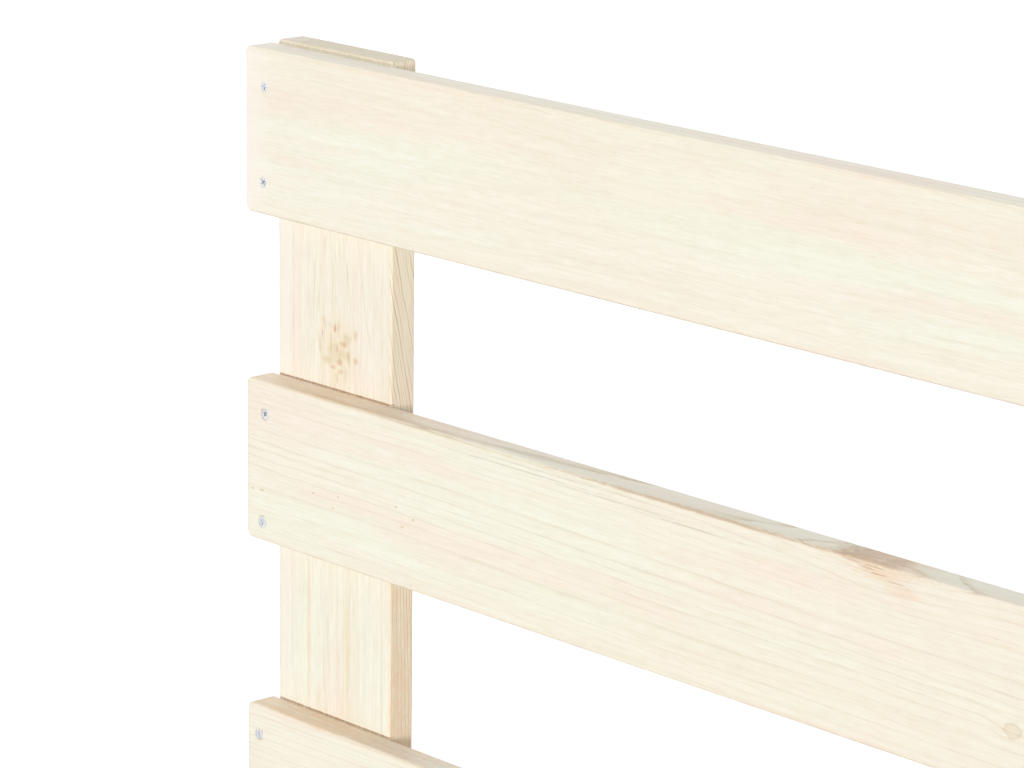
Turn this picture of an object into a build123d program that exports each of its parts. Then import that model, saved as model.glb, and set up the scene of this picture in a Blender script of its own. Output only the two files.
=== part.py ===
from build123d import *
import os
from dataclasses import dataclass, replace

# A pallet bed in planed pine: a low base of runners, blocks, girders and deck boards, and a
# headboard of four level slats screwed to the front of two posts. Millimetres, +Z up, +X along the
# headboard to the right of someone who looks at it from the foot end, +Y towards the headboard.
# The origin is the middle of the bed's footprint, on the floor.

# Driving dimensions of the base
mattress_length = 2000.0
mattress_width = 1000.0
board_width = 110.0
base_board_thickness = 20.0
block_length = 140.0
block_height = 120.0
blocks_per_girder = 4
deck_board_count = 13

# Driving dimensions of the headboard
headboard_height = 1000.0
slat_width = 110.0
slat_thickness = 21.0
slat_end_overhang = 8.0
post_width = 115.0
post_thickness = 20.0
post_above_top_slat = 3.0
first_slat_gap = 112.0
second_slat_gap = 116.0
lowest_slat_below_deck = 1.0

# Rounding of the planed boards: the corners seen on a board's face, and its long edges
slat_corner_radius = 4.5
slat_edge_radius = 2.0
post_corner_radius = 3.0
post_edge_radius = 1.6
base_corner_radius = 3.5
base_edge_radius = 2.2

# Heights of the base's layers
runner_top = base_board_thickness
lower_block_top = runner_top + block_height
tie_board_top = lower_block_top + base_board_thickness
upper_block_top = tie_board_top + block_height
girder_top = upper_block_top + base_board_thickness
deck_top = girder_top + base_board_thickness

# Places along the bed
overall_length = mattress_length + slat_thickness + post_thickness
foot_y = -overall_length / 2
head_y = foot_y + mattress_length
slat_back_y = head_y + slat_thickness
wall_y = slat_back_y + post_thickness
half_width = mattress_width / 2
half_slat_length = half_width + slat_end_overhang

# The three lines of runners, blocks and girders
line_x = {
    "left": -half_width + board_width / 2,
    "middle": 0.0,
    "right": half_width - board_width / 2,
}
block_pitch = (mattress_length - block_length) / (blocks_per_girder - 1)
block_ys = [foot_y + block_length / 2 + i * block_pitch for i in range(blocks_per_girder)]
deck_pitch = (mattress_length - board_width) / (deck_board_count - 1)
deck_ys = [foot_y + board_width / 2 + i * deck_pitch for i in range(deck_board_count)]

# Upper edge of each slat, from the top one down
top_slat_z = headboard_height - post_above_top_slat
second_slat_z = top_slat_z - slat_width - first_slat_gap
third_slat_z = second_slat_z - slat_width - second_slat_gap
fourth_slat_z = deck_top - lowest_slat_below_deck
slat_tops = [top_slat_z, second_slat_z, third_slat_z, fourth_slat_z]

# Screws at the left end of each slat: distance in from the slat's end, then down from its upper edge.
# They were driven by eye, so no two pairs are quite alike. The right end has them mirrored.
slat_screw_places = [
    [(19.3, 25.2), (18.1, 88.6)],
    [(19.3, 22.5), (16.0, 97.1)],
    [(12.2, 20.7), (15.0, 92.0)],
    [(16.5, 23.0), (17.8, 89.0)],
]

# Screws through each deck board, and through the runners and girders into the blocks, measured
# from the middle of the crossing. The long screws from above and below pass each other.
deck_screw_spread = 30.0
block_screw_across = 25.0
block_screw_along = 40.0

# Turn of a piece whose local +Z faces one of these ways
facing_up = (0, 0, 0)
facing_down = (180, 0, 0)
facing_foot = (90, 0, 0)
facing_wall = (-90, 0, 0)

# Each screw of a group was left at another turn of its cross
cross_turn_step = 37.0


@dataclass(frozen=True)
class Screw:
    """A countersunk wood screw with a cross recess, its head a little below the wood's face."""

    head_radius: float
    shank_radius: float
    length: float
    sink: float
    recess_span: float
    recess_wing: float
    recess_depth: float
    rim: float = 0.25
    play: float = 0.1

    @property
    def cone_end(self):
        """Depth at which the head's 90 degree cone has narrowed to the shank."""
        return self.sink + self.rim + self.head_radius - self.shank_radius

    @property
    def tip(self):
        """Depth of the screw's point."""
        return self.sink + self.length


@dataclass(frozen=True)
class CoachScrew:
    """A hexagon-headed coach screw on a washer, both sunk in a flat-bottomed hole."""

    shank_radius: float = 3.0
    length: float = 60.0
    head_across_flats: float = 10.0
    head_height: float = 4.0
    head_chamfer: float = 0.8
    washer_radius: float = 9.0
    washer_thickness: float = 1.6
    washer_hole_radius: float = 3.2
    pocket_radius: float = 10.0
    pocket_depth: float = 7.0
    point_length: float = 5.0
    play: float = 0.1


headboard_screw = Screw(
    head_radius=3.5,
    shank_radius=1.75,
    length=35.0,
    sink=0.3,
    recess_span=3.9,
    recess_wing=0.9,
    recess_depth=1.7,
)
deck_screw = replace(headboard_screw, sink=0.5)
block_screw = Screw(
    head_radius=6.0,
    shank_radius=3.0,
    length=150.0,
    sink=1.0,
    recess_span=6.0,
    recess_wing=1.4,
    recess_depth=2.8,
)
coach_screw = CoachScrew()
coach_screw_heights = [225.0, 265.0]


def turned(profile):
    """A solid of revolution about Z from (radius, height) points, closed along the axis."""
    return revolve(make_face(Polyline([(r, 0, z) for r, z in profile], close=True)), Axis.Z)


def screw_solid(screw):
    """A countersunk screw pointing down from the wood's face at z = 0."""
    point_length = 2 * screw.shank_radius
    body = turned([
        (0, -screw.sink),
        (screw.head_radius, -screw.sink),
        (screw.head_radius, -screw.sink - screw.rim),
        (screw.shank_radius, -screw.cone_end),
        (screw.shank_radius, -screw.tip + point_length),
        (0, -screw.tip),
    ])
    wing = Box(screw.recess_span, screw.recess_wing, screw.recess_depth)
    cross = wing + Rot(0, 0, 90) * wing
    return body - Pos(0, 0, -screw.sink - screw.recess_depth / 2) * cross


def screw_hole(screw):
    """The hole that a countersunk screw sits in: it bears on the cone and has play elsewhere."""
    radius = screw.shank_radius + screw.play
    mouth = screw.head_radius + screw.play
    cone_start = screw.sink + screw.rim - screw.play
    return turned([
        (0, 1),
        (mouth, 1),
        (mouth, -cone_start),
        (radius, -cone_start - mouth + radius),
        (radius, -screw.tip),
        (0, -screw.tip - radius),
    ])


def coach_screw_solid(screw):
    """A coach screw pointing down, with its washer's face at the bottom of its pocket."""
    seat = -screw.pocket_depth + screw.washer_thickness
    tip = seat - screw.length
    shank = turned([
        (0, seat),
        (screw.shank_radius, seat),
        (screw.shank_radius, tip + screw.point_length),
        (0, tip),
    ])
    corner_radius = screw.head_across_flats / 3 ** 0.5
    hexagon = extrude(RegularPolygon(corner_radius, 6), screw.head_height)
    turned_down = turned([
        (0, 0),
        (corner_radius, 0),
        (corner_radius, screw.head_height - screw.head_chamfer),
        (screw.head_across_flats / 2, screw.head_height),
        (0, screw.head_height),
    ])
    return shank + Pos(0, 0, seat) * (hexagon & turned_down)


def washer_solid(screw):
    """The washer at the bottom of a coach screw's pocket."""
    ring = Circle(screw.washer_radius) - Circle(screw.washer_hole_radius)
    return Pos(0, 0, -screw.pocket_depth) * extrude(ring, screw.washer_thickness)


def coach_screw_hole(screw):
    """The pocket and the pilot hole of a coach screw."""
    radius = screw.shank_radius + screw.play
    depth = screw.pocket_depth - screw.washer_thickness + screw.length
    return turned([
        (0, 1),
        (screw.pocket_radius, 1),
        (screw.pocket_radius, -screw.pocket_depth),
        (radius, -screw.pocket_depth),
        (radius, -depth),
        (0, -depth - radius),
    ])


def board(length, width, thickness, corner_radius, edge_radius):
    """A planed board with every edge eased, long side on X, lying on z = 0."""
    blank = extrude(RectangleRounded(length, width, corner_radius), thickness)
    faces = blank.faces().sort_by(Axis.Z)
    return fillet(faces[0].edges() + faces[-1].edges(), edge_radius)


def base_board(length, height=base_board_thickness):
    """One of the base's boards or blocks, as wide as they all are."""
    return board(length, board_width, height, base_corner_radius, base_edge_radius)


def spots(points, facing):
    """The locations of a group of fasteners, each turned a step further about its own axis."""
    return [
        Location(point, facing) * Rot(0, 0, i * cross_turn_step) for i, point in enumerate(points)
    ]


def slat_screw_points():
    """Where the headboard screws stand on the slats' front faces, left end then right end."""
    points = []
    for top, places in zip(slat_tops, slat_screw_places):
        for side in (-1, 1):
            points += [(side * (half_slat_length - inset), head_y, top - drop)
                       for inset, drop in places]
    return points


def deck_screw_points():
    """Where the deck screws stand: two on each crossing of a deck board and a girder."""
    return [
        (x, y + side * deck_screw_spread, deck_top)
        for y in deck_ys for x in line_x.values() for side in (-1, 1)
    ]


def block_screw_points(z, slant):
    """Where the long screws stand on one level: two on each block, on one of its diagonals."""
    return [
        (x + side * block_screw_across, y + side * slant * block_screw_along, z)
        for x in line_x.values() for y in block_ys for side in (-1, 1)
    ]


def coach_screw_points():
    """Where the coach screws stand on the posts' back faces."""
    return [(line_x[name], wall_y, z) for name in ("left", "right") for z in coach_screw_heights]


headboard_spots = spots(slat_screw_points(), facing_foot)
deck_spots = spots(deck_screw_points(), facing_up)
girder_spots = spots(block_screw_points(girder_top, 1), facing_up)
runner_spots = spots(block_screw_points(0.0, -1), facing_down)
coach_spots = spots(coach_screw_points(), facing_wall)

fastener_holes = [
    (screw_hole(headboard_screw), headboard_spots),
    (screw_hole(deck_screw), deck_spots),
    (screw_hole(block_screw), girder_spots + runner_spots),
    (coach_screw_hole(coach_screw), coach_spots),
]
placed_holes = [location * hole for hole, locations in fastener_holes for location in locations]
holes_and_boxes = [(hole, hole.bounding_box()) for hole in placed_holes]


def boxes_meet(one, other):
    """Whether two bounding boxes share any space."""
    return (
        one.min.X < other.max.X and other.min.X < one.max.X
        and one.min.Y < other.max.Y and other.min.Y < one.max.Y
        and one.min.Z < other.max.Z and other.min.Z < one.max.Z
    )


def drilled(wood):
    """The wood with every fastener's hole that meets it."""
    box = wood.bounding_box()
    return wood - [hole for hole, hole_box in holes_and_boxes if boxes_meet(hole_box, box)]


def long_boards():
    """Runners on the floor, tie boards between the two levels of blocks, girders under the deck."""
    lengthwise = Rot(0, 0, 90) * base_board(mattress_length)
    middle_y = foot_y + mattress_length / 2
    layers = {"runner": 0.0, "tie_board": lower_block_top, "girder": upper_block_top}
    return {
        f"{layer}_{side}": drilled(Pos(x, middle_y, z) * lengthwise)
        for layer, z in layers.items() for side, x in line_x.items()
    }


def blocks():
    """The spacer blocks of both levels, numbered from the foot end."""
    block = Rot(0, 0, 90) * base_board(block_length, block_height)
    return {
        f"{level}_block_{side}_{number}": drilled(Pos(x, y, z) * block)
        for level, z in {"lower": runner_top, "upper": tie_board_top}.items()
        for side, x in line_x.items()
        for number, y in enumerate(block_ys, 1)
    }


def deck():
    """The boards across the bed that the mattress lies on, numbered from the foot end."""
    plank = base_board(mattress_width)
    return {
        f"deck_board_{number:02d}": drilled(Pos(0, y, girder_top) * plank)
        for number, y in enumerate(deck_ys, 1)
    }


def slats():
    """The four level slats, numbered from the top."""
    standing = Rot(90, 0, 0) * board(
        2 * half_slat_length, slat_width, slat_thickness, slat_corner_radius, slat_edge_radius)
    return {
        f"headboard_slat_{number}": drilled(Pos(0, slat_back_y, top - slat_width / 2) * standing)
        for number, top in enumerate(slat_tops, 1)
    }


def posts():
    """The two posts behind the slats, outer edges flush with the sides of the base."""
    upright = Rot(90, 0, 0) * Rot(0, 0, 90) * board(
        headboard_height, post_width, post_thickness, post_corner_radius, post_edge_radius)
    inset = half_width - post_width / 2
    return {
        f"headboard_post_{side}": drilled(Pos(x, wall_y, headboard_height / 2) * upright)
        for side, x in {"left": -inset, "right": inset}.items()
    }


def fasteners():
    """Each kind of fastener as one group of separate solids."""
    groups = {
        "headboard_screws": (screw_solid(headboard_screw), headboard_spots),
        "deck_screws": (screw_solid(deck_screw), deck_spots),
        "girder_screws": (screw_solid(block_screw), girder_spots),
        "runner_screws": (screw_solid(block_screw), runner_spots),
        "coach_screws": (coach_screw_solid(coach_screw), coach_spots),
        "coach_washers": (washer_solid(coach_screw), coach_spots),
    }
    return {
        name: Compound([(location * piece).solid() for location in locations])
        for name, (piece, locations) in groups.items()
    }


nodes = {**long_boards(), **blocks(), **deck(), **slats(), **posts(), **fasteners()}

os.makedirs("parts", exist_ok=True)
for name, shape in nodes.items():
    shape.label = name
    export_step(shape, f"parts/{name}.step")
print(f"{len(nodes)} nodes, slat tops at {slat_tops}, length {overall_length}")
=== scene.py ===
"""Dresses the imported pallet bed: bare planed pine, zinc-plated screws and a plain white studio."""

import logging
import math
import random
from dataclasses import dataclass, field
from enum import Enum
from typing import Any, Iterable, Mapping, Sequence, Union

import bpy
from mathutils import Matrix, Vector


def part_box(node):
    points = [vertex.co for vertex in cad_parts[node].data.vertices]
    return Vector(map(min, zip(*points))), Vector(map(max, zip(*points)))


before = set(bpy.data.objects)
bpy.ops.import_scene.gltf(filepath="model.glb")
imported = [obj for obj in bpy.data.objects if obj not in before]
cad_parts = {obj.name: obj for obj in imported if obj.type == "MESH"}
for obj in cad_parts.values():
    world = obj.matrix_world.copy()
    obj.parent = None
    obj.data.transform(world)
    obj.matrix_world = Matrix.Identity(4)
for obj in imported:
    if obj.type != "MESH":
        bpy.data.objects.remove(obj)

LOG = logging.getLogger("pallet_bed")
MM = 0.001
SHADER_WHITE = (1.0, 1.0, 1.0)
NOISE_MIDDLE = 0.5
# How far a seed shifts a noise along each axis, and where the noise starts
SEED_SHIFTS = ((1.0, 0.0), (0.37, 5.0), (0.61, -3.0))


class Axis(Enum):
    """A row axis, by its index."""

    X = 0
    Y = 1
    Z = 2


class Tone(Enum):
    """The colour of a patch of a board. Most are the wood's own tones; the grey-beige one is painted shade,
    and the dark brown and dark grey ones are also painted shade where they line the slats' lower edges, their
    joints with the post and the screw heads.
    """

    RESIN = "resin"
    HONEY = "honey"
    HEART = "heart"
    AMBER = "amber"
    PALE = "pale"
    # Dark brown: the wood's own dark lines and strands, and painted shade along the slats' lower edges and
    # where their tops meet the post.
    BARK_AND_SHADE = "bark"
    # Painted shade: the grey-beige of a top face in shade.
    PAINTED_SHADE = "shade"
    # Dark grey: the wood's own fine dark lines, and painted shade round the screw heads.
    DENT_AND_SHADE = "dent"


class Part(Enum):
    """What a board is in the bed, which says how much of the log's figure it shows."""

    SLAT = "slat"
    POST = "post"
    DECK = "deck"
    RAIL = "rail"
    BLOCK = "block"


def screen(red: int, green: int, blue: int) -> tuple[float, float, float]:
    """Gives the shader's linear colour for one that is read off a screen.

    Args:
        red: Red from 0 to 255.
        green: Green from 0 to 255.
        blue: Blue from 0 to 255.

    Returns:
        The linear red, green and blue.
    """
    def linear(level: float) -> float:
        """Undoes the screen's transfer curve for one channel."""
        return level / 12.92 if level <= 0.04045 else ((level + 0.055) / 1.055) ** 2.4

    return linear(red / 255), linear(green / 255), linear(blue / 255)


class Value:
    """A number that varies over a surface, with Python's arithmetic."""

    def __init__(self, tree: "ShaderTree", socket: bpy.types.NodeSocket) -> None:
        """Wraps an output socket of a node in the tree."""
        self.tree = tree
        self.socket = socket

    def __add__(self, other: "Number") -> "Value":
        """Adds a value or a number."""
        return self.tree.maths("ADD", self, other)

    def __radd__(self, other: "Number") -> "Value":
        """Adds to a number."""
        return self.tree.maths("ADD", other, self)

    def __sub__(self, other: "Number") -> "Value":
        """Takes a value or a number away."""
        return self.tree.maths("SUBTRACT", self, other)

    def __rsub__(self, other: "Number") -> "Value":
        """Is taken away from a number."""
        return self.tree.maths("SUBTRACT", other, self)

    def __mul__(self, other: "Number") -> "Value":
        """Multiplies by a value or a number."""
        return self.tree.maths("MULTIPLY", self, other)

    def __rmul__(self, other: "Number") -> "Value":
        """Multiplies a number."""
        return self.tree.maths("MULTIPLY", other, self)

    def __truediv__(self, other: "Number") -> "Value":
        """Divides by a value or a number."""
        return self.tree.maths("DIVIDE", self, other)

    def __rtruediv__(self, other: "Number") -> "Value":
        """Divides a number."""
        return self.tree.maths("DIVIDE", other, self)

    def __pow__(self, other: "Number") -> "Value":
        """Raises to a power."""
        return self.tree.maths("POWER", self, other)

    def __rpow__(self, other: "Number") -> "Value":
        """Is the power that a number is raised to."""
        return self.tree.maths("POWER", other, self)

    def __neg__(self) -> "Value":
        """Changes the sign."""
        return self.tree.maths("MULTIPLY", self, -1.0)

    def __abs__(self) -> "Value":
        """Drops the sign."""
        return self.tree.maths("ABSOLUTE", self)


Number = Union[Value, float, int]


class ShaderTree:
    """The nodes of one material, made through a few short methods."""

    def __init__(self, name: str) -> None:
        """Makes an empty node material of this name."""
        self.material = bpy.data.materials.new(name)
        self.material.use_nodes = True
        self.nodes = self.material.node_tree.nodes
        self.links = self.material.node_tree.links
        self.nodes.clear()

    def node(
        self,
        kind: str,
        settings: Mapping[str, Any] | None = None,
        inputs: Mapping[Union[str, int], Any] | None = None,
    ) -> bpy.types.Node:
        """Makes any node.

        Args:
            kind: The node's type.
            settings: Its properties, which are set first.
            inputs: A value, a plain constant or an output socket for each input socket.

        Returns:
            The new node.
        """
        made = self.nodes.new(kind)
        for name, setting in (settings or {}).items():
            setattr(made, name, setting)
        for key, given in (inputs or {}).items():
            socket = made.inputs[key]
            if isinstance(given, Value):
                self.links.new(given.socket, socket)
            elif isinstance(given, bpy.types.NodeSocket):
                self.links.new(given, socket)
            else:
                socket.default_value = given
        return made

    def value(self, made: bpy.types.Node, output: Union[str, int] = 0) -> Value:
        """Wraps one output of a node."""
        return Value(self, made.outputs[output])

    def maths(self, operation: str, *operands: Number) -> Value:
        """Makes a Math node.

        Args:
            operation: The Math node's operation.
            operands: Its values or numbers, in order.

        Returns:
            The result.
        """
        made = self.node("ShaderNodeMath", {"operation": operation}, dict(enumerate(operands)))
        return self.value(made)

    def smooth(self, given: Number, low: float, high: float) -> Value:
        """Rises smoothly from 0 at low to 1 at high, or falls where low is the larger.

        Args:
            given: The value to read.
            low: Where the result is 0.
            high: Where the result is 1.

        Returns:
            A value from 0 to 1.
        """
        made = self.node(
            "ShaderNodeMapRange",
            {"interpolation_type": "SMOOTHSTEP"},
            {"Value": given, "From Min": low, "From Max": high},
        )
        return self.value(made)

    def scaled(
        self, vector: Any, factors: Sequence[float], shift: Sequence[float] = (0.0, 0.0, 0.0)
    ) -> bpy.types.NodeSocket:
        """Stretches a vector by a factor on each axis and then shifts it.

        Args:
            vector: The vector's socket.
            factors: The factor on each axis.
            shift: What is added after that.

        Returns:
            The new vector's socket.
        """
        made = self.node(
            "ShaderNodeVectorMath",
            {"operation": "MULTIPLY_ADD"},
            {0: vector, 1: tuple(factors), 2: tuple(shift)},
        )
        return made.outputs["Vector"]

    def length(self, vector: Any) -> Value:
        """Measures a vector."""
        made = self.node("ShaderNodeVectorMath", {"operation": "LENGTH"}, {0: vector})
        return self.value(made, "Value")

    def noise(self, place: Any, layer: "Layer", board_seed: float = 0.0) -> Value:
        """Makes noise that is stretched along each axis.

        Args:
            place: Where it is read, in metres.
            layer: The size of its features, and how rough it is.
            board_seed: Shifts it, so that no two boards share it.

        Returns:
            A value that varies about 0.5.
        """
        factors = [1.0 / (size * MM) for size in layer.pitch]
        seed = board_seed + layer.seed
        shift = [seed * slope + start for slope, start in SEED_SHIFTS]
        made = self.node(
            "ShaderNodeTexNoise",
            {"noise_dimensions": "3D"},
            {
                "Vector": self.scaled(place, factors, shift),
                "Scale": 1.0,
                "Detail": layer.detail,
                "Roughness": layer.roughness,
            },
        )
        return self.value(made, 0)

    def mix(self, factor: Number, first: Any, second: Any, blend: str = "MIX") -> bpy.types.NodeSocket:
        """Mixes two colours.

        Args:
            factor: How much of the second shows.
            first: The first colour, or its socket.
            second: The second colour, or its socket.
            blend: The Mix node's blend type.

        Returns:
            The mixed colour's socket.
        """
        def opaque(colour: Any) -> Any:
            """Adds an alpha to a plain colour and leaves a socket alone."""
            return (*colour, 1.0) if isinstance(colour, tuple) else colour

        made = self.node(
            "ShaderNodeMix",
            {"data_type": "RGBA", "blend_type": blend, "clamp_factor": True},
            {0: factor, 6: opaque(first), 7: opaque(second)},
        )
        return made.outputs[2]

    def finish(self, shader: bpy.types.Node) -> bpy.types.Material:
        """Sends a shader to the surface.

        Args:
            shader: The node whose first output is the surface.

        Returns:
            The finished material.
        """
        self.node("ShaderNodeOutputMaterial", inputs={"Surface": shader.outputs[0]})
        return self.material


@dataclass(frozen=True)
class Layer:
    """One layer of noise in a board: how large its features are along, across and through, in millimetres."""

    pitch: tuple[float, float, float]
    seed: float
    detail: float = 2.0
    roughness: float = 0.5


@dataclass(frozen=True)
class Knot:
    """A knot through a board, placed from the board's middle. One with no darkness only bends the rings."""

    along: float
    across: float
    radius: float
    darkness: float = 1.0
    stretch: float = 1.3
    ragged: float = 0.5


@dataclass(frozen=True)
class TonePatch:
    """A soft patch of another tone, placed from the board's middle. Most are the wood's own stains and
    streaks; some are painted shade. With no depth it goes right through.
    """

    tone: Tone
    along: float
    across: float
    length: float
    width: float
    strength: float = 0.6
    through: float = 0.0
    depth: float = 0.0


@dataclass(frozen=True)
class Grain:
    """How a board was cut from its log. Lengths are in millimetres, leans in millimetres per metre."""

    pith_across: float
    pith_through: float
    lean_across: float = 0.0
    lean_through: float = 0.0
    ring: float = 3.2
    wave: float = 8.0
    contrast: float = 0.25
    edge_contrast: float = 0.5
    fibre: float = 1.0
    warmth: float = 0.3
    seed: float = 0.0
    knots: tuple[Knot, ...] = ()
    tone_patches: tuple[TonePatch, ...] = ()


@dataclass(frozen=True)
class Board:
    """One packed board: its node, its box, and which axes run along, across and through it."""

    node: str
    low: Vector
    high: Vector
    along: Axis
    across: Axis
    through: Axis

    @classmethod
    def of(cls, node: str) -> "Board":
        """Reads a board's box and orders its axes from the longest side to the shortest.

        Args:
            node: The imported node's name.

        Returns:
            The board.
        """
        low, high = (Vector(corner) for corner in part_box(node))
        order = sorted(Axis, key=lambda axis: low[axis.value] - high[axis.value])
        return cls(node, low, high, *order)

    @property
    def axes(self) -> tuple[Axis, Axis, Axis]:
        """The axes along, across and through the board."""
        return self.along, self.across, self.through

    @property
    def middle(self) -> Vector:
        """The middle of the board."""
        return (self.low + self.high) / 2

    @property
    def halves(self) -> tuple[float, float, float]:
        """Half the board's length, width and thickness."""
        size = (self.high - self.low) / 2
        return tuple(size[axis.value] for axis in self.axes)


@dataclass(frozen=True)
class Layers:
    """The layers of noise that a board's figure is made from. Seeds are added to the board's own."""

    fibre: Layer = Layer((17, 1.15, 1.15), 11.0, 4.0, 0.62)
    streak: Layer = Layer((120, 3.4, 3.4), 23.0, 2.0, 0.55)
    drift: Layer = Layer((330, 48, 48), 3.0, 2.0)
    patch: Layer = Layer((190, 24, 24), 17.0, 2.5)
    cloud: Layer = Layer((520, 70, 70), 31.0, 1.0)
    pores: Layer = Layer((8.0, 0.7, 0.7), 91.0, 1.0)
    breaks: Layer = Layer((60, 4, 4), 71.0, 3.0, 0.6)
    knot_rims: Layer = Layer((9, 4, 4), 5.0, 2.0)
    patch_outline: Layer = Layer((30, 3, 3), 61.0, 2.0)
    patch_fringe: Layer = Layer((5, 1.3, 1.3), 67.0, 2.0)
    bends: tuple[Layer, ...] = (Layer((420, 260, 260), 41.0, 1.0), Layer((420, 260, 260), 53.0, 1.0))
    waves: tuple[Layer, ...] = (Layer((46, 9, 9), 48.0, 2.0), Layer((46, 9, 9), 60.0, 2.0))


@dataclass(frozen=True)
class PineFinish:
    """Bare planed pine, pale and dry, drawn from the growth rings of the log that it was cut from."""

    early: tuple[float, float, float] = screen(248, 242, 227)
    late: tuple[float, float, float] = screen(200, 180, 142)
    rosy: tuple[float, float, float] = screen(250, 235, 222)
    milky: tuple[float, float, float] = screen(246, 247, 231)
    knot_wood: tuple[float, float, float] = screen(226, 192, 152)
    knot_rim: tuple[float, float, float] = screen(176, 124, 84)
    end_wood: tuple[float, float, float] = screen(226, 216, 194)
    tones: Mapping[Tone, tuple[float, float, float]] = field(
        default_factory=lambda: {
            Tone.RESIN: screen(216, 192, 132),
            Tone.AMBER: screen(214, 168, 118),
            Tone.HONEY: screen(243, 220, 184),
            Tone.HEART: screen(240, 206, 172),
            Tone.PALE: screen(253, 247, 238),
            # Dark brown: the wood's own dark lines and strands, and painted shade along the slats' lower
            # edges and where their tops meet the post.
            Tone.BARK_AND_SHADE: screen(168, 118, 74),
            # Painted shade: the grey-beige of a top face in shade.
            Tone.PAINTED_SHADE: screen(196, 188, 168),
            # Dark grey: the wood's own fine dark lines, and painted shade round the screw heads.
            Tone.DENT_AND_SHADE: screen(122, 116, 106),
        }
    )
    shade_strengths: tuple[float, float, float] = (0.75, 1.0, 1.55)
    layers: Layers = Layers()
    drift_range: tuple[float, float] = (0.38, 0.68)
    patch_range: tuple[float, float] = (0.46, 0.72)
    cloud_range: tuple[float, float] = (0.40, 0.72)
    break_range: tuple[float, float] = (0.32, 0.66)
    pore_range: tuple[float, float] = (0.66, 0.80)
    saw_range: tuple[float, float] = (0.55, 0.75)
    late_rise: tuple[float, float] = (0.58, 0.95)
    late_fall: tuple[float, float] = (1.0, 0.96)
    late_sharpness: float = 2.0
    year_drift: float = 2.4
    year_drift_pitch: float = 0.23
    faintest_year: float = 0.15
    faintest_stretch: float = 0.3
    fibre_shade: float = 0.20
    streak_shade: float = 0.11
    wave_reach: float = 2.4
    knot_push: float = 0.9
    knot_reach: float = 0.16
    pore_strength: float = 0.22
    end_strength: float = 0.85
    end_rings: float = 0.75
    saw_strength: float = 0.25
    saw_lines: Layer = Layer((3.0, 26.0, 0.8), 5.0, 1.0)
    milky_strength: float = 0.75
    rosy_strength: float = 0.6
    end_band: tuple[float, float] = (2.2, 0.4)
    side_band: tuple[float, float] = (2.0, 0.6)
    edge_band: tuple[float, float] = (5.0, 1.0)
    edge_warmth: float = 0.12
    knot_core: tuple[float, float] = (1.10, 0.80)
    knot_rim_rise: tuple[float, float] = (0.55, 0.95)
    knot_inside: tuple[float, float] = (0.35, 0.6)
    knot_cover: tuple[float, float] = (0.35, 0.45)
    knot_rings: float = 15.0
    halo_fall: float = 0.45
    halo_strength: float = 0.35
    patch_fade: tuple[float, float] = (1.25, 0.3)
    patch_wander: float = 0.8
    patch_ragged: float = 1.1
    roughness: float = 0.58
    rough_late: float = -0.06
    rough_fibre: float = 0.18
    rough_knot: float = -0.12
    rough_edge: float = 0.05
    bump_late: float = 0.3
    bump_fibre: float = 0.6
    bump_knot: float = 0.5
    bump_strength: float = 0.35
    bump_depth: float = 0.18 * MM
    wood_ior: float = 1.45
    sheen: float = 0.32

    def material(self, board: Board, grain: Grain) -> bpy.types.Material:
        """Makes one board's material.

        Args:
            board: The board, which sets the place and direction of the log's pith.
            grain: How the board was cut.

        Returns:
            The material.
        """
        tree = ShaderTree(f"pine_{board.node}")
        place = self._place(tree, board)
        warped = self._warped(tree, place, grain)
        knots = [(knot, self._knot_distance(tree, warped, knot)) for knot in grain.knots]
        radius = self._ring_radius(tree, warped, grain, knots)
        late = self._latewood(tree, radius, place, grain)
        fibre = tree.noise(place, self.layers.fibre, grain.seed) - NOISE_MIDDLE
        streak = tree.noise(place, self.layers.streak, grain.seed) - NOISE_MIDDLE
        colour = self._ground(tree, place, grain)
        contrast = self._contrast(tree, board, place, grain)
        colour = tree.mix(late * contrast, colour, self.late)
        shade = (fibre * self.fibre_shade + streak * self.streak_shade) * grain.fibre
        colour = tree.mix(1.0, colour, self._tint(tree, shade), "MULTIPLY")
        colour = self._pores(tree, place, colour, grain)
        colour = self._end_grain(tree, board, place, colour, late)
        colour = self._with_tone_patches(tree, place, colour, grain)
        colour, knot_mask = self._with_knots(tree, place, colour, grain, knots)
        colour, edge = self._with_edges(tree, board, place, colour)
        rough = self.roughness + late * self.rough_late + fibre * self.rough_fibre
        rough = rough + knot_mask * self.rough_knot + edge * self.rough_edge
        height = late * self.bump_late + fibre * self.bump_fibre + knot_mask * self.bump_knot
        bump = tree.node(
            "ShaderNodeBump",
            inputs={"Strength": self.bump_strength, "Distance": self.bump_depth, "Height": height},
        )
        shader = tree.node(
            "ShaderNodeBsdfPrincipled",
            inputs={
                "Base Color": colour,
                "Roughness": rough,
                "IOR": self.wood_ior,
                "Specular IOR Level": self.sheen,
                "Normal": bump.outputs["Normal"],
            },
        )
        return tree.finish(shader)

    def _place(self, tree: ShaderTree, board: Board) -> bpy.types.NodeSocket:
        """Gives the place in the board's own frame: along, across and through it, from its middle."""
        spot = tree.node("ShaderNodeTexCoord").outputs["Object"]
        centred = tree.scaled(spot, (1.0, 1.0, 1.0), tuple(-board.middle))
        parts = tree.node("ShaderNodeSeparateXYZ", inputs={0: centred})
        picked = {i: parts.outputs[axis.value] for i, axis in enumerate(board.axes)}
        return tree.node("ShaderNodeCombineXYZ", inputs=picked).outputs[0]

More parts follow.
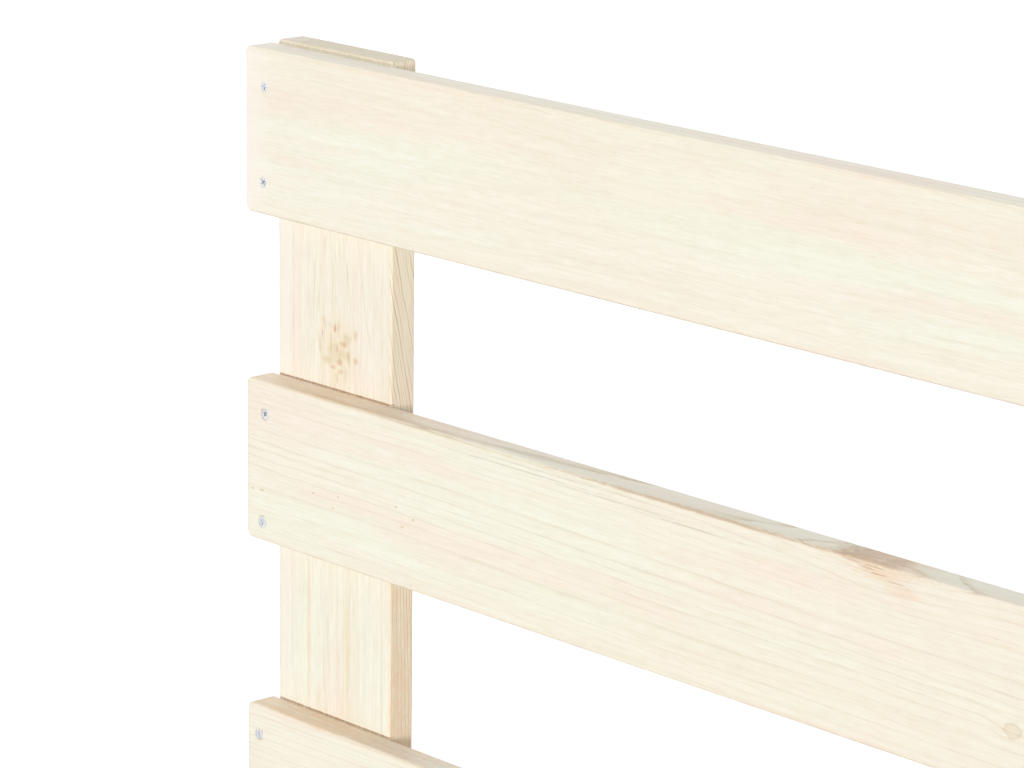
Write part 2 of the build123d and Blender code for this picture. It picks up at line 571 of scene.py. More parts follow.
    def _warped(self, tree: ShaderTree, place: Any, grain: Grain) -> bpy.types.NodeSocket:
        """Bends the place a little, as a grown trunk bends its rings."""
        moved = []
        for bend, wave in zip(self.layers.bends, self.layers.waves):
            slow = (tree.noise(place, bend, grain.seed) - NOISE_MIDDLE) * (2.0 * grain.wave * MM)
            quick = (tree.noise(place, wave, grain.seed) - NOISE_MIDDLE) * (self.wave_reach * MM)
            moved.append(slow + quick)
        offset = tree.node("ShaderNodeCombineXYZ", inputs={1: moved[0], 2: moved[1]})
        made = tree.node("ShaderNodeVectorMath", {"operation": "ADD"}, {0: place, 1: offset.outputs[0]})
        return made.outputs[0]

    def _knot_distance(self, tree: ShaderTree, warped: Any, knot: Knot) -> Value:
        """Gives the distance from a knot's axis, where 1 is its rim."""
        across = 1.0 / (knot.radius * MM)
        along = across / knot.stretch
        spot = tree.scaled(
            warped, (along, across, 0.0), (-knot.along * MM * along, -knot.across * MM * across, 0.0)
        )
        return tree.length(spot)

    def _ring_radius(
        self, tree: ShaderTree, warped: Any, grain: Grain, knots: Sequence[tuple[Knot, Value]]
    ) -> Value:
        """Gives the distance from the pith, in metres, pushed out where the rings flow round a knot.

        Args:
            tree: The material's tree.
            warped: The bent place in the board's frame.
            grain: How the board was cut.
            knots: Each knot with its distance.

        Returns:
            The distance.
        """
        parts = tree.node("ShaderNodeSeparateXYZ", inputs={0: warped})
        along, across, through = (tree.value(parts, i) for i in range(3))
        beside = across - grain.pith_across * MM - along * (grain.lean_across * MM)
        below = through - grain.pith_through * MM - along * (grain.lean_through * MM)
        radius = tree.maths("SQRT", beside * beside + below * below)
        for knot, distance in knots:
            near = tree.maths("EXPONENT", distance * distance * -self.knot_reach)
            radius = radius + near * (knot.radius * MM * self.knot_push)
        return radius

    def _latewood(self, tree: ShaderTree, radius: Value, place: Any, grain: Grain) -> Value:
        """Draws the dark latewood at the end of each year's ring.

        Args:
            tree: The material's tree.
            radius: The distance from the pith.
            place: The place in the board's frame.
            grain: How the board was cut.

        Returns:
            How much latewood there is, from 0 to 1.
        """
        years = radius * (1.0 / (grain.ring * MM))
        spacing = tree.node(
            "ShaderNodeTexNoise",
            {"noise_dimensions": "1D"},
            {"W": years * self.year_drift_pitch + grain.seed, "Scale": 1.0, "Detail": 1.0},
        )
        years = years + (tree.value(spacing, 0) - NOISE_MIDDLE) * self.year_drift
        year = tree.maths("FLOOR", years)
        part = years - year
        strength = tree.node(
            "ShaderNodeTexWhiteNoise", {"noise_dimensions": "1D"}, {"W": year + grain.seed}
        )
        rise = tree.smooth(part, *self.late_rise) ** self.late_sharpness
        fall = tree.smooth(part, *self.late_fall)
        breaks = tree.smooth(tree.noise(place, self.layers.breaks, grain.seed), *self.break_range)
        uneven = breaks * (1.0 - self.faintest_stretch) + self.faintest_stretch
        year_strength = tree.value(strength, "Value") * (1.0 - self.faintest_year) + self.faintest_year
        return rise * fall * year_strength * uneven

    def _contrast(self, tree: ShaderTree, board: Board, place: Any, grain: Grain) -> Value:
        """Gives how strongly the latewood shows: one strength on the wide faces, another on the edges.

        Args:
            tree: The material's tree.
            board: The board.
            place: The place in its frame.
            grain: How the board was cut.

        Returns:
            The strength.
        """
        half_width = board.halves[1]
        parts = tree.node("ShaderNodeSeparateXYZ", inputs={0: place})
        on_edge = tree.smooth(
            abs(tree.value(parts, 1)), *(half_width - gap * MM for gap in self.side_band)
        )
        return grain.contrast + on_edge * (grain.edge_contrast - grain.contrast)

    def _ground(self, tree: ShaderTree, place: Any, grain: Grain) -> bpy.types.NodeSocket:
        """Lays the earlywood's colour with its milky, rosy and honey-coloured drifts."""
        drift = tree.noise(place, self.layers.drift, grain.seed)
        patch = tree.noise(place, self.layers.patch, grain.seed)
        cloud = tree.noise(place, self.layers.cloud, grain.seed)
        milky = tree.smooth(drift, *self.drift_range) * self.milky_strength
        rosy = tree.smooth(patch, *self.patch_range) * self.rosy_strength
        warm = tree.smooth(cloud, *self.cloud_range) * grain.warmth
        colour = tree.mix(milky, self.early, self.milky)
        colour = tree.mix(rosy, colour, self.rosy)
        return tree.mix(warm, colour, self.tones[Tone.HONEY])

    def _tint(self, tree: ShaderTree, shade: Value) -> bpy.types.NodeSocket:
        """Turns a change of brightness into a colour to multiply by: darker wood is also warmer."""
        channels = {i: 1.0 + shade * strength for i, strength in enumerate(self.shade_strengths)}
        return tree.node("ShaderNodeCombineColor", inputs=channels).outputs[0]

    def _pores(
        self, tree: ShaderTree, place: Any, colour: Any, grain: Grain
    ) -> bpy.types.NodeSocket:
        """Adds the fine short dashes of resin canals along the grain."""
        dashes = tree.noise(place, self.layers.pores, grain.seed)
        return tree.mix(tree.smooth(dashes, *self.pore_range) * self.pore_strength, colour, self.late)

    def _end_grain(
        self, tree: ShaderTree, board: Board, place: Any, colour: Any, late: Value
    ) -> bpy.types.NodeSocket:
        """Darkens the sawn ends, where the rings stand out and the saw left fine lines.

        Args:
            tree: The material's tree.
            board: The board.
            place: The place in its frame.
            colour: The colour so far.
            late: The latewood.

        Returns:
            The colour with its ends.
        """
        half_length = board.halves[0]
        parts = tree.node("ShaderNodeSeparateXYZ", inputs={0: place})
        along = abs(tree.value(parts, 0))
        at_end = tree.smooth(along, *(half_length - gap * MM for gap in self.end_band))
        saw = tree.noise(place, self.saw_lines)
        ends = tree.mix(late * self.end_rings, self.end_wood, self.late)
        ends = tree.mix(tree.smooth(saw, *self.saw_range) * self.saw_strength, ends, self.late)
        return tree.mix(at_end * self.end_strength, colour, ends)

    def _with_knots(
        self,
        tree: ShaderTree,
        place: Any,
        colour: Any,
        grain: Grain,
        knots: Sequence[tuple[Knot, Value]],
    ) -> tuple[bpy.types.NodeSocket, Value]:
        """Lays the knots on the colour: a resin halo, a dark rim, and a core with its own rings.

        Args:
            tree: The material's tree.
            place: The place in the board's frame.
            colour: The colour so far.
            grain: How the board was cut.
            knots: Each knot with its distance.

        Returns:
            The colour, and a value that is 1 on the knots.
        """
        ragged = tree.noise(place, self.layers.knot_rims, grain.seed) - NOISE_MIDDLE
        total = ragged * 0.0
        for knot, distance in knots:
            if not knot.darkness:
                continue
            edge = distance + ragged * (knot.ragged * 2.0)
            near = tree.maths("EXPONENT", edge * edge * -self.halo_fall)
            core = tree.smooth(edge, *self.knot_core)
            rim = core * tree.smooth(edge, *self.knot_rim_rise)
            rings = tree.maths("SINE", edge * self.knot_rings) * 0.5 + 0.5
            dark = rings * self.knot_inside[0] + rim * self.knot_inside[1]
            cover = core * self.knot_cover[0] + rim * self.knot_cover[1]
            inside = tree.mix(dark, self.knot_wood, self.knot_rim)
            halo = near * (self.halo_strength * knot.darkness)
            colour = tree.mix(halo, colour, self.tones[Tone.HONEY])
            colour = tree.mix(cover * knot.darkness, colour, inside)
            total = tree.maths("MAXIMUM", total, core)
        return colour, total

    def _with_tone_patches(
        self, tree: ShaderTree, place: Any, colour: Any, grain: Grain
    ) -> bpy.types.NodeSocket:
        """Lays each patch of tone on the colour, the wood's own stains and the painted shade alike, with an
        outline that wanders along the grain.
        """
        if not grain.tone_patches:
            return colour
        slow = tree.noise(place, self.layers.patch_outline, grain.seed) - NOISE_MIDDLE
        quick = tree.noise(place, self.layers.patch_fringe, grain.seed) - NOISE_MIDDLE
        wander = slow * self.patch_wander + quick * self.patch_ragged
        for laid_patch in grain.tone_patches:
            sizes = (laid_patch.length, laid_patch.width, laid_patch.depth)
            factors = [2.0 / (size * MM) if size else 0.0 for size in sizes]
            spot = (laid_patch.along, laid_patch.across, laid_patch.through)
            shift = [-at * MM * factor for at, factor in zip(spot, factors)]
            distance = tree.length(tree.scaled(place, factors, shift)) + wander
            mask = tree.smooth(distance, *self.patch_fade) * laid_patch.strength
            colour = tree.mix(mask, colour, self.tones[laid_patch.tone])
        return colour

    def _with_edges(
        self, tree: ShaderTree, board: Board, place: Any, colour: Any
    ) -> tuple[bpy.types.NodeSocket, Value]:
        """Warms the eased edges, where handling and the cutter have closed the wood.

        Args:
            tree: The material's tree.
            board: The board.
            place: The place in its frame.
            colour: The colour so far.

        Returns:
            The colour, and a value that is 1 on the edges.
        """
        parts = tree.node("ShaderNodeSeparateXYZ", inputs={0: place})
        gaps = [half - abs(tree.value(parts, i)) for i, half in enumerate(board.halves)]
        least = tree.maths("MINIMUM", tree.maths("MINIMUM", gaps[0], gaps[1]), gaps[2])
        most = tree.maths("MAXIMUM", tree.maths("MAXIMUM", gaps[0], gaps[1]), gaps[2])
        middle = gaps[0] + gaps[1] + gaps[2] - least - most
        edge = tree.smooth(middle, *(gap * MM for gap in self.edge_band))
        return tree.mix(edge * self.edge_warmth, colour, self.tones[Tone.HONEY]), edge


@dataclass(frozen=True)
class ZincFinish:
    """Bright zinc plating with a faint blue cast and fine handling marks."""

    bright: tuple[float, float, float] = screen(232, 234, 238)
    dull: tuple[float, float, float] = screen(192, 197, 204)
    clouds: Layer = Layer((2.4, 2.4, 2.4), 4.0, 3.0)
    scratches: Layer = Layer((0.25, 0.7, 0.25), 9.0, 2.0)
    tarnish_range: tuple[float, float] = (0.35, 0.7)
    tarnish_shade: float = 0.7
    scratch_shade: float = 0.3
    roughness: float = 0.30
    tarnish_roughness: float = 0.16
    scratch_roughness: float = 0.14
    bump_strength: float = 0.2
    bump_depth: float = 0.05 * MM

    def material(self) -> bpy.types.Material:
        """Makes the plating's material."""
        tree = ShaderTree("zinc_plating")
        spot = tree.node("ShaderNodeTexCoord").outputs["Object"]
        marks = tree.noise(spot, self.scratches) - NOISE_MIDDLE
        tarnish = tree.smooth(tree.noise(spot, self.clouds), *self.tarnish_range)
        dullness = tarnish * self.tarnish_shade + marks * self.scratch_shade
        colour = tree.mix(dullness, self.bright, self.dull)
        rough = self.roughness + tarnish * self.tarnish_roughness + marks * self.scratch_roughness
        bump = tree.node(
            "ShaderNodeBump",
            inputs={"Strength": self.bump_strength, "Distance": self.bump_depth, "Height": marks},
        )
        shader = tree.node(
            "ShaderNodeBsdfPrincipled",
            inputs={
                "Base Color": colour,
                "Metallic": 1.0,
                "Roughness": rough,
                "Normal": bump.outputs["Normal"],
            },
        )
        return tree.finish(shader)


@dataclass(frozen=True)
class FloorFinish:
    """A white studio floor that the camera sees as plain white where no shadow falls on it."""

    base: tuple[float, float, float] = screen(232, 232, 232)
    dusty: tuple[float, float, float] = screen(214, 214, 214)
    dust: Layer = Layer((900, 900, 900), 2.0, 3.0)
    dust_strength: float = 0.06
    least_dust: float = 0.4
    roughness: float = 0.4
    lift: float = 0.52

    def material(self) -> bpy.types.Material:
        """Makes the floor's material."""
        tree = ShaderTree("studio_floor")
        spot = tree.node("ShaderNodeTexCoord").outputs["Object"]
        dust = (tree.noise(spot, self.dust) - self.least_dust) * self.dust_strength
        colour = tree.mix(dust, self.base, self.dusty)
        matt = tree.node("ShaderNodeBsdfDiffuse", inputs={"Color": colour, "Roughness": self.roughness})
        rays = tree.node("ShaderNodeLightPath")
        seen = tree.value(rays, "Is Camera Ray")
        for kind in ("Is Glossy Ray", "Is Transmission Ray"):
            seen = tree.maths("MAXIMUM", seen, tree.value(rays, kind))
        glow = tree.node(
            "ShaderNodeEmission", inputs={"Color": (*SHADER_WHITE, 1.0), "Strength": seen * self.lift}
        )
        both = tree.node("ShaderNodeAddShader", inputs={0: matt.outputs[0], 1: glow.outputs[0]})
        return tree.finish(both)


def dress(node: str, material: bpy.types.Material, slot: str) -> None:
    """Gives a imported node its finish.

    Args:
        node: The node's name.
        material: The finish.
        slot: The record's material slot, which stays as packed and is only logged.
    """
    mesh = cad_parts[node].data
    mesh.materials.clear()
    mesh.materials.append(material)
    LOG.info("%s dressed for slot %s", node, slot)


Range = tuple[float, float]


@dataclass(frozen=True)
class CutRanges:
    """What the cut of an unseen board is drawn from. Lengths are in millimetres."""

    pith_across: Range = (-45, 45)
    pith_depth: Range = (22, 90)
    block_pith_across: Range = (-70, 70)
    block_pith_depth: Range = (5, 75)
    lean_across: Range = (-18, 18)
    lean_through: Range = (-14, 14)
    ring: Range = (2.6, 5.0)
    wave: Range = (6, 12)
    contrast: Range = (0.22, 0.42)
    edge_contrast: Range = (0.35, 0.6)
    warmth: Range = (0.1, 0.5)
    seed: Range = (0, 900)
    most_knots: Mapping[Part, int] = field(
        default_factory=lambda: {
            Part.SLAT: 2, Part.POST: 3, Part.DECK: 3, Part.RAIL: 4, Part.BLOCK: 1,
        }
    )
    largest_knot: float = 9.0
    knot_along: Range = (-0.92, 0.92)
    knot_across: Range = (-0.95, 0.95)
    knot_size: Range = (0.35, 1.0)
    knot_darkness: Range = (0.45, 0.9)
    knot_stretch: Range = (1.05, 1.5)


@dataclass
class Timber:
    """Cuts a different piece of the log for each board, always in the same order."""

    finish: PineFinish = field(default_factory=PineFinish)
    ranges: CutRanges = field(default_factory=CutRanges)
    dice: random.Random = field(default_factory=lambda: random.Random(17))

    def knots(self, board: Board, count: int) -> tuple[Knot, ...]:
        """Scatters knots over a board.

        Args:
            board: The board.
            count: How many.

        Returns:
            The knots.
        """
        dice, ranges = self.dice, self.ranges
        half_length, half_width, _ = (half / MM for half in board.halves)
        return tuple(
            Knot(
                along=dice.uniform(*ranges.knot_along) * half_length,
                across=dice.uniform(*ranges.knot_across) * half_width,
                radius=dice.uniform(*ranges.knot_size) * ranges.largest_knot,
                darkness=dice.uniform(*ranges.knot_darkness),
                stretch=dice.uniform(*ranges.knot_stretch),
            )
            for _ in range(count)
        )

    def cut(self, board: Board, part: Part) -> Grain:
        """Chooses how a board that the photograph doesn't show was cut.

        Args:
            board: The board.
            part: What it is in the bed.

        Returns:
            Its grain.
        """
        dice, ranges = self.dice, self.ranges
        across, depth = ranges.pith_across, ranges.pith_depth
        if part is Part.BLOCK:
            across, depth = ranges.block_pith_across, ranges.block_pith_depth
        side = dice.choice((-1.0, 1.0))
        return Grain(
            pith_across=dice.uniform(*across),
            pith_through=side * dice.uniform(*depth),
            lean_across=dice.uniform(*ranges.lean_across),
            lean_through=dice.uniform(*ranges.lean_through),
            ring=dice.uniform(*ranges.ring),
            wave=dice.uniform(*ranges.wave),
            contrast=dice.uniform(*ranges.contrast),
            edge_contrast=dice.uniform(*ranges.edge_contrast),
            warmth=dice.uniform(*ranges.warmth),
            seed=dice.uniform(*ranges.seed),
            knots=self.knots(board, dice.randint(0, ranges.most_knots[part])),
        )

    def dress(self, node: str, part: Part, slot: str, grain: Grain | None = None) -> None:
        """Dresses one board.

        Args:
            node: Its node.
            part: What it is in the bed.
            slot: The record's material slot.
            grain: How it was cut, where the photograph shows it.
        """
        board = Board.of(node)
        dress(node, self.finish.material(board, grain or self.cut(board, part)), slot)


# Places along and across a board, from its middle, with a patch's length, width and strength
TonePatchRow = tuple[float, float, float, float, float]
FRONT_FACE = -10.0
SKIN = 6.0


def patches_of_tone(
    tone: Tone, rows: Iterable[TonePatchRow], through: float = 0.0, depth: float = 0.0
) -> tuple[TonePatch, ...]:
    """Makes patches of one tone.

    Args:
        tone: Their tone.
        rows: The place along and across, the length, the width and the strength of each.
        through: Where they are in the board's thickness.
        depth: How deep they go, or 0 where they go through.

    Returns:
        The stains.
    """
    return tuple(TonePatch(tone, *row, through, depth) for row in rows)


@dataclass(frozen=True)
class SlatFigures:
    """The figure of each photographed slat, with painted shade along its lower edge and round its screw
    heads. Lengths are in millimetres.
    """

    # Painted shade: a thin dark line on the front face along the slat's lower eased edge, which faces down
    # and stays in shade.
    lower_edge_shade: tuple[TonePatchRow, ...] = ((0, -54.8, 9000, 1.5, 0.4),)
    # Painted shade: a dark ring in the gap round each sunk screw head on the second and third slats.
    screw_shade_rim: float = 8.4
    screw_shade_rim_strength: float = 0.7
    screw_shade_rim_depth: float = 8.0
    screws: Mapping[int, tuple[tuple[float, float], ...]] = field(
        default_factory=lambda: {
            2: ((-488.7, 32.5), (-492.0, -42.1)),
            3: ((-495.8, 34.3), (-493.0, -37.0)),
        }
    )
    pale_end: tuple[TonePatchRow, ...] = ((-516, 0, 66, 900, 0.75),)
    fine_lines: tuple[TonePatchRow, ...] = (
        (-235, 46.8, 170, 0.9, 0.27),
        (-150, 45.0, 130, 0.9, 0.27),
        (-82, 42.9, 110, 0.9, 0.27),
        (-205, 50.0, 190, 0.8, 0.24),
    )
    second_top: tuple[TonePatchRow, ...] = ((-420, 57, 300, 7, 0.6),)
    second_arris: tuple[TonePatchRow, ...] = ((-70, 54, 330, 2.2, 0.5),)
    arris_depth: float = 5.0
    third_top: tuple[TonePatchRow, ...] = ((-430, 57, 330, 7, 0.75),)
    knot_blush: tuple[TonePatchRow, ...] = (
        (64, 56, 82, 17, 0.45),
        (70, 48, 44, 8, 0.4),
        (86, 42, 30, 8, 0.35),
    )
    knot_strands: tuple[TonePatchRow, ...] = (
        (34, 54.5, 26, 1.6, 0.38),
        (46, 52.8, 18, 1.5, 0.38),
        (56, 50.8, 16, 1.3, 0.38),
        (66, 48.8, 15, 1.2, 0.38),
        (48, 54.9, 30, 1.4, 0.38),
        (63, 52.6, 20, 1.3, 0.38),
        (78, 46.6, 15, 1.1, 0.38),
        (70, 54.6, 26, 1.8, 0.38),
    )
    resin_flecks: tuple[TonePatchRow, ...] = (
        (-501.5, -20.7, 4, 1.3, 0.8),
        (-491.9, -20.1, 5, 1.3, 0.8),
        (-438.6, -10.8, 3, 1.3, 0.8),
        (-413.1, -8.0, 3, 1.3, 0.8),
        (-418.1, -16.6, 3, 1.3, 0.8),
        (-355.0, -2.3, 3, 1.3, 0.8),
        (-338.3, -7.3, 3, 1.3, 0.8),
        (-349.0, -14.3, 4, 1.3, 0.8),
    )
    fleck_place: float = -10.5
    fleck_depth: float = 3.0

    def screw_shade_rims(self, number: int) -> tuple[TonePatch, ...]:
        """Gives the dark rims round the screw heads, which are painted shade in the gap round each sunk head.
        """
        size, strength = self.screw_shade_rim, self.screw_shade_rim_strength
        rows = [(along, across, size, size, strength) for along, across in self.screws[number]]
        return patches_of_tone(Tone.DENT_AND_SHADE, rows, FRONT_FACE, self.screw_shade_rim_depth)

    def first(self) -> Grain:
        """Gives the top slat, which shows fine fibre and hardly any rings."""
        return Grain(
            pith_across=12, pith_through=-64, lean_across=9, lean_through=-16, ring=5.2, wave=12,
            contrast=0.15, edge_contrast=0.5, fibre=1.25, warmth=0.12, seed=12.0,
            tone_patches=(
                *patches_of_tone(Tone.PALE, self.pale_end),
                # Painted shade along the slat's lower edge.
                *patches_of_tone(Tone.BARK_AND_SHADE, self.lower_edge_shade, FRONT_FACE, SKIN),
            ),
        )

    def second(self) -> Grain:
        """Gives the middle slat, with near-parallel rings, resin flecks and a knot at its top edge."""
        return Grain(
            pith_across=-150, pith_through=46, lean_across=-16, lean_through=6, ring=5.6, wave=7,
            contrast=0.29, edge_contrast=0.9, fibre=1.2, warmth=0.08, seed=48.0,
            knots=(
                Knot(along=66, across=60, radius=12, darkness=0.0, stretch=2.2),
                Knot(along=170, across=-18, radius=5, darkness=0.4),
            ),
            tone_patches=(
                # Painted shade along the slat's lower edge.
                *patches_of_tone(Tone.BARK_AND_SHADE, self.lower_edge_shade, FRONT_FACE, SKIN),
                # Painted shade round the screw heads.
                *self.screw_shade_rims(2),
                *patches_of_tone(Tone.DENT_AND_SHADE, self.fine_lines, FRONT_FACE, SKIN),
                *patches_of_tone(Tone.HEART, self.second_top),
                *patches_of_tone(Tone.BARK_AND_SHADE, self.second_arris, FRONT_FACE, self.arris_depth),
                *patches_of_tone(Tone.HEART, self.knot_blush),
                *patches_of_tone(Tone.BARK_AND_SHADE, self.knot_strands),
                *patches_of_tone(Tone.RESIN, self.resin_flecks, self.fleck_place, self.fleck_depth),
            ),
        )

    def third(self) -> Grain:
        """Gives the slat below it, with stronger rings and a warm top face."""
        return Grain(
            pith_across=-70, pith_through=-52, lean_across=14, lean_through=10, ring=4.2, wave=9,
            contrast=0.40, edge_contrast=0.9, warmth=0.25, seed=77.0,
            tone_patches=(
                # Painted shade along the slat's lower edge.
                *patches_of_tone(Tone.BARK_AND_SHADE, self.lower_edge_shade, FRONT_FACE, SKIN),
                # Painted shade round the screw heads.
                *self.screw_shade_rims(3),
                *patches_of_tone(Tone.HEART, self.third_top),
            ),
        )


@dataclass(frozen=True)
class PostFigure:
    """The figure of the photographed post, with painted shade where the slats' tops meet it and on the strip
    above the top slat. Lengths are in millimetres.
    """

    pale_side: tuple[TonePatchRow, ...] = ((300, -60, 900, 50, 0.5),)
    warm_side: tuple[TonePatchRow, ...] = ((0, 58.5, 3000, 4.4, 0.45),)
    heart_side: tuple[TonePatchRow, ...] = ((-150, 58.5, 700, 5.5, 0.8),)
    warm_patches: tuple[TonePatchRow, ...] = (
        (302, 3, 56, 44, 0.35),
        (100, 14, 110, 5, 0.6),
        (110, -26, 130, 4, 0.5),
    )
    # Painted shade: the lower part of the thin strip of the post's front that shows above the top slat,
    # darkened to the grey-beige of the slat's shaded top face.
    painted_top_shade: tuple[TonePatchRow, ...] = ((497.7, 0, 2.4, 3000, 0.8),)
    # Painted shade: thin dark lines on the post's front where the tops of the second and third slats meet it.
    joint_shades: tuple[TonePatchRow, ...] = ((275.4, 0, 1.5, 3000, 0.8), (49.4, 0, 1.5, 3000, 0.8))
    joint_shade_depth: float = 8.0
    streaks: tuple[TonePatchRow, ...] = (
        (345, -1.6, 50, 1.1, 0.45),
        (352, 13.2, 30, 1.1, 0.4125),
        (366, 5.0, 34, 1.0, 0.375),
        (345, -20.0, 30, 1.1, 0.375),
        (333, -15.0, 22, 1.1, 0.375),
        (319, -10.0, 10, 2.8, 0.45),
        (302, -14.0, 14, 3.6, 0.375),
        (315, 22.0, 7, 4.6, 0.375),
        (294, -7.0, 6, 11.0, 0.375),
        (287, 11.5, 12, 2.8, 0.375),
        (306, -3.0, 16, 3.0, 0.375),
        (298, 15.5, 12, 3.2, 0.375),
        (311, 13.0, 9, 9.0, 0.375),
        (284, 3.0, 9, 4.0, 0.3375),
        (300, 1.0, 16, 16.0, 0.225),
        (300, 9.0, 7, 12.0, 0.3),
        (318, 4.5, 8, 5.0, 0.3),
        (320, -24, 16, 1.4, 0.225),
    )
    knot_hearts: tuple[TonePatchRow, ...] = (
        (316, 0.9, 5.6, 2.6, 0.75),
        (307, 10.0, 4.4, 8.5, 0.6),
        (294.5, 5.8, 5.4, 6.4, 0.6),
        (298, 21.8, 5, 5.4, 0.45),
        (311, -12.0, 6, 2.0, 0.4),
        (290, -1.0, 3, 7.0, 0.4),
        (300, 14.0, 7, 4.0, 0.4),
        (303, 3.0, 6, 3.0, 0.45),
        (288, 7.0, 4, 5.0, 0.4),
    )

    def grain(self) -> Grain:
        """Gives the post, whose side shows close rings that bend round a knot behind the top slat."""
        return Grain(
            pith_across=4, pith_through=-50, lean_across=-3, lean_through=4, ring=1.55, wave=7,
            contrast=0.28, edge_contrast=3.6, fibre=1.6, warmth=0.1, seed=5.0,
            knots=(
                Knot(along=420, across=57, radius=24, darkness=0.0, stretch=2.0),
                Knot(along=-160, across=-30, radius=8, darkness=0.5),
            ),
            tone_patches=(
                *patches_of_tone(Tone.PALE, self.pale_side),
                *patches_of_tone(Tone.HONEY, self.warm_side),
                *patches_of_tone(Tone.HEART, self.heart_side),
                *patches_of_tone(Tone.HONEY, self.warm_patches, FRONT_FACE, SKIN),
                # Painted shade on the strip above the top slat.
                *patches_of_tone(Tone.PAINTED_SHADE, self.painted_top_shade, FRONT_FACE, SKIN),
                # Painted shade where the slats' tops meet the post.
                *patches_of_tone(Tone.BARK_AND_SHADE, self.joint_shades, FRONT_FACE, self.joint_shade_depth),
                *patches_of_tone(Tone.RESIN, self.streaks, FRONT_FACE, SKIN),
                *patches_of_tone(Tone.AMBER, self.knot_hearts, FRONT_FACE, SKIN),
            ),
        )


@dataclass(frozen=True)
class Headboard:
    """The slats and posts. The photographed boards keep the figure that the photograph shows."""

    slat_count: int = 4
    slot: str = "headboard_pine"

    def build(self, timber: Timber) -> None:
        """Dresses the slats and the posts.

        Args:
            timber: Where boards come from.
        """
        slats = SlatFigures()
        figures = {1: slats.first(), 2: slats.second(), 3: slats.third()}
        for number in range(1, self.slat_count + 1):
            timber.dress(f"headboard_slat_{number}", Part.SLAT, self.slot, figures.get(number))
        timber.dress("headboard_post_left", Part.POST, self.slot, PostFigure().grain())
        timber.dress("headboard_post_right", Part.POST, self.slot)
        LOG.info("headboard dressed")


@dataclass(frozen=True)
class Base:
    """The three lines of boards and blocks, and the deck on them."""

    lines: tuple[str, ...] = ("left", "middle", "right")
    layers: tuple[str, ...] = ("runner", "tie_board", "girder")
    levels: tuple[str, ...] = ("lower", "upper")
    blocks_per_line: int = 4
    deck_boards: int = 13

    def build(self, timber: Timber) -> None:
        """Dresses every board and block of the base.

        Args:
            timber: Where boards come from.
        """
        for layer in self.layers:
            for line in self.lines:
                timber.dress(f"{layer}_{line}", Part.RAIL, "base_pine")
        for level in self.levels:
            for line in self.lines:
                for number in range(1, self.blocks_per_line + 1):
                    timber.dress(f"{level}_block_{line}_{number}", Part.BLOCK, "block_pine")
        for number in range(1, self.deck_boards + 1):
            timber.dress(f"deck_board_{number:02d}", Part.DECK, "deck_pine")
        LOG.info("base dressed")


@dataclass(frozen=True)
class Fasteners:
    """The screws and washers."""

    nodes: tuple[str, ...] = (
        "headboard_screws", "deck_screws", "girder_screws", "runner_screws", "coach_screws",
        "coach_washers",
    )

    def build(self) -> None:
        """Dresses every group of fasteners with the same plating."""
        plating = ZincFinish().material()
        for node in self.nodes:
            dress(node, plating, "zinc_steel")
        LOG.info("fasteners dressed")


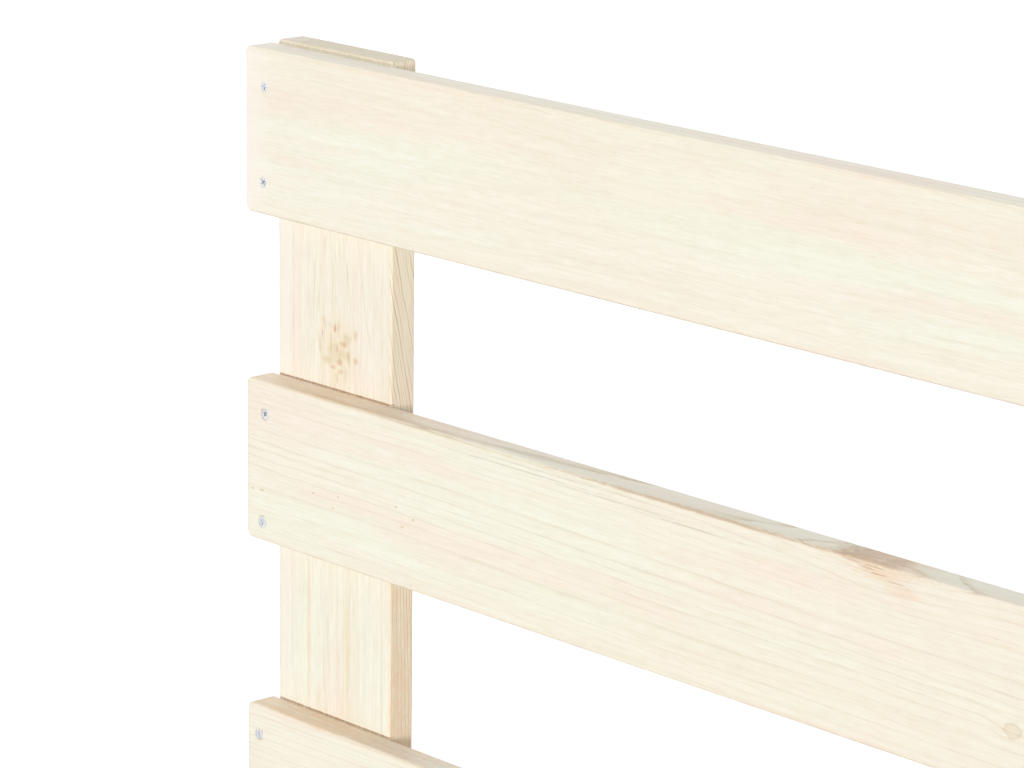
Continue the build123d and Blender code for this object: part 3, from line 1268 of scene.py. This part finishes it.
@dataclass(frozen=True)
class Studio:
    """The floor, the light and the camera, which looks down at the headboard's left end."""

    floor_size: float = 90.0
    sky: float = 0.38
    sun_strength: float = 2.26
    sun_softness: float = 22.0
    sun_towards: tuple[float, float, float] = (0.57, -0.81, 0.10)
    top_strength: float = 0.74
    top_softness: float = 60.0
    top_towards: tuple[float, float, float] = (-0.10, 0.10, 0.99)
    back_strength: float = 0.55
    back_softness: float = 50.0
    back_towards: tuple[float, float, float] = (-0.50, 0.82, 0.28)
    camera_from_slat: tuple[float, float, float] = (2.16542, -1.72414, 0.46466)
    camera_turn: float = -47.8257
    camera_pitch: float = 14.0275
    camera_roll: float = 0.6684
    focal_pixels: float = 4294.38
    image_width: float = 1024.0
    sensor_width: float = 36.0
    nearest: float = 0.05
    farthest: float = 200.0

    def floor(self) -> None:
        """Lays the floor under the bed."""
        half = self.floor_size / 2
        mesh = bpy.data.meshes.new("floor")
        corners = [(-half, -half, 0), (half, -half, 0), (half, half, 0), (-half, half, 0)]
        mesh.from_pydata(corners, [], [(0, 1, 2, 3)])
        mesh.materials.append(FloorFinish().material())
        floor = bpy.data.objects.new("studio_floor", mesh)
        bpy.context.scene.collection.objects.link(floor)

    def world(self) -> None:
        """Makes an even sky, which the camera and reflections see as white."""
        world = bpy.data.worlds.new("studio_sky")
        bpy.context.scene.world = world
        world.use_nodes = True
        nodes, links = world.node_tree.nodes, world.node_tree.links
        nodes.clear()
        rays = nodes.new("ShaderNodeLightPath")
        seen = rays.outputs["Is Camera Ray"]
        for kind in ("Is Glossy Ray", "Is Transmission Ray"):
            either = nodes.new("ShaderNodeMath")
            either.operation = "MAXIMUM"
            links.new(seen, either.inputs[0])
            links.new(rays.outputs[kind], either.inputs[1])
            seen = either.outputs[0]
        strength = nodes.new("ShaderNodeMapRange")
        strength.inputs["To Min"].default_value = self.sky
        strength.inputs["To Max"].default_value = 1.0
        links.new(seen, strength.inputs["Value"])
        sky = nodes.new("ShaderNodeBackground")
        sky.inputs["Color"].default_value = (*SHADER_WHITE, 1.0)
        links.new(strength.outputs[0], sky.inputs["Strength"])
        output = nodes.new("ShaderNodeOutputWorld")
        links.new(sky.outputs[0], output.inputs["Surface"])

    def lamp(self, name: str, strength: float, softness: float, towards: Iterable[float]) -> None:
        """Hangs a broad distant lamp.

        Args:
            name: The lamp's name.
            strength: Its strength.
            softness: How wide it looks from the bed, in degrees.
            towards: The direction from the bed to the lamp.
        """
        data = bpy.data.lights.new(name, "SUN")
        data.energy = strength
        data.angle = math.radians(softness)
        lamp = bpy.data.objects.new(name, data)
        lamp.rotation_mode = "QUATERNION"
        lamp.rotation_quaternion = Vector(towards).to_track_quat("Z", "Y")
        bpy.context.scene.collection.objects.link(lamp)

    def camera(self) -> None:
        """Stands the camera where the photograph was taken from."""
        low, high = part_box("headboard_slat_1")
        corner = Vector((low[0], low[1], high[2]))
        turn, pitch = math.radians(self.camera_turn), math.radians(self.camera_pitch)
        forward = Vector(
            (math.sin(turn) * math.cos(pitch), math.cos(turn) * math.cos(pitch), -math.sin(pitch))
        )
        level = Vector((math.cos(turn), -math.sin(turn), 0.0))
        upright = level.cross(forward)
        roll = math.radians(self.camera_roll)
        right = level * math.cos(roll) + upright * math.sin(roll)
        up = upright * math.cos(roll) - level * math.sin(roll)
        data = bpy.data.cameras.new("camera")
        data.sensor_fit = "HORIZONTAL"
        data.sensor_width = self.sensor_width
        data.lens = self.sensor_width * self.focal_pixels / self.image_width
        data.clip_start, data.clip_end = self.nearest, self.farthest
        camera = bpy.data.objects.new("camera", data)
        turned = Matrix((right, up, -forward)).transposed().to_4x4()
        camera.matrix_world = Matrix.Translation(corner + Vector(self.camera_from_slat)) @ turned
        bpy.context.scene.collection.objects.link(camera)
        bpy.context.scene.camera = camera

    def build(self) -> None:
        """Sets up the floor, the sky, the lamps and the camera."""
        self.floor()
        self.world()
        self.lamp("key", self.sun_strength, self.sun_softness, self.sun_towards)
        self.lamp("top_fill", self.top_strength, self.top_softness, self.top_towards)
        self.lamp("back_fill", self.back_strength, self.back_softness, self.back_towards)
        self.camera()
        view = bpy.context.scene.view_settings
        view.view_transform = "Standard"
        LOG.info("studio set up")


def main() -> None:
    """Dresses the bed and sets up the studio."""
    logging.basicConfig(level=logging.INFO, format="%(name)s: %(message)s")
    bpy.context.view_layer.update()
    timber = Timber()
    Headboard().build(timber)
    Base().build(timber)
    Fasteners().build()
    Studio().build()


if __name__ == "__main__":
    main()
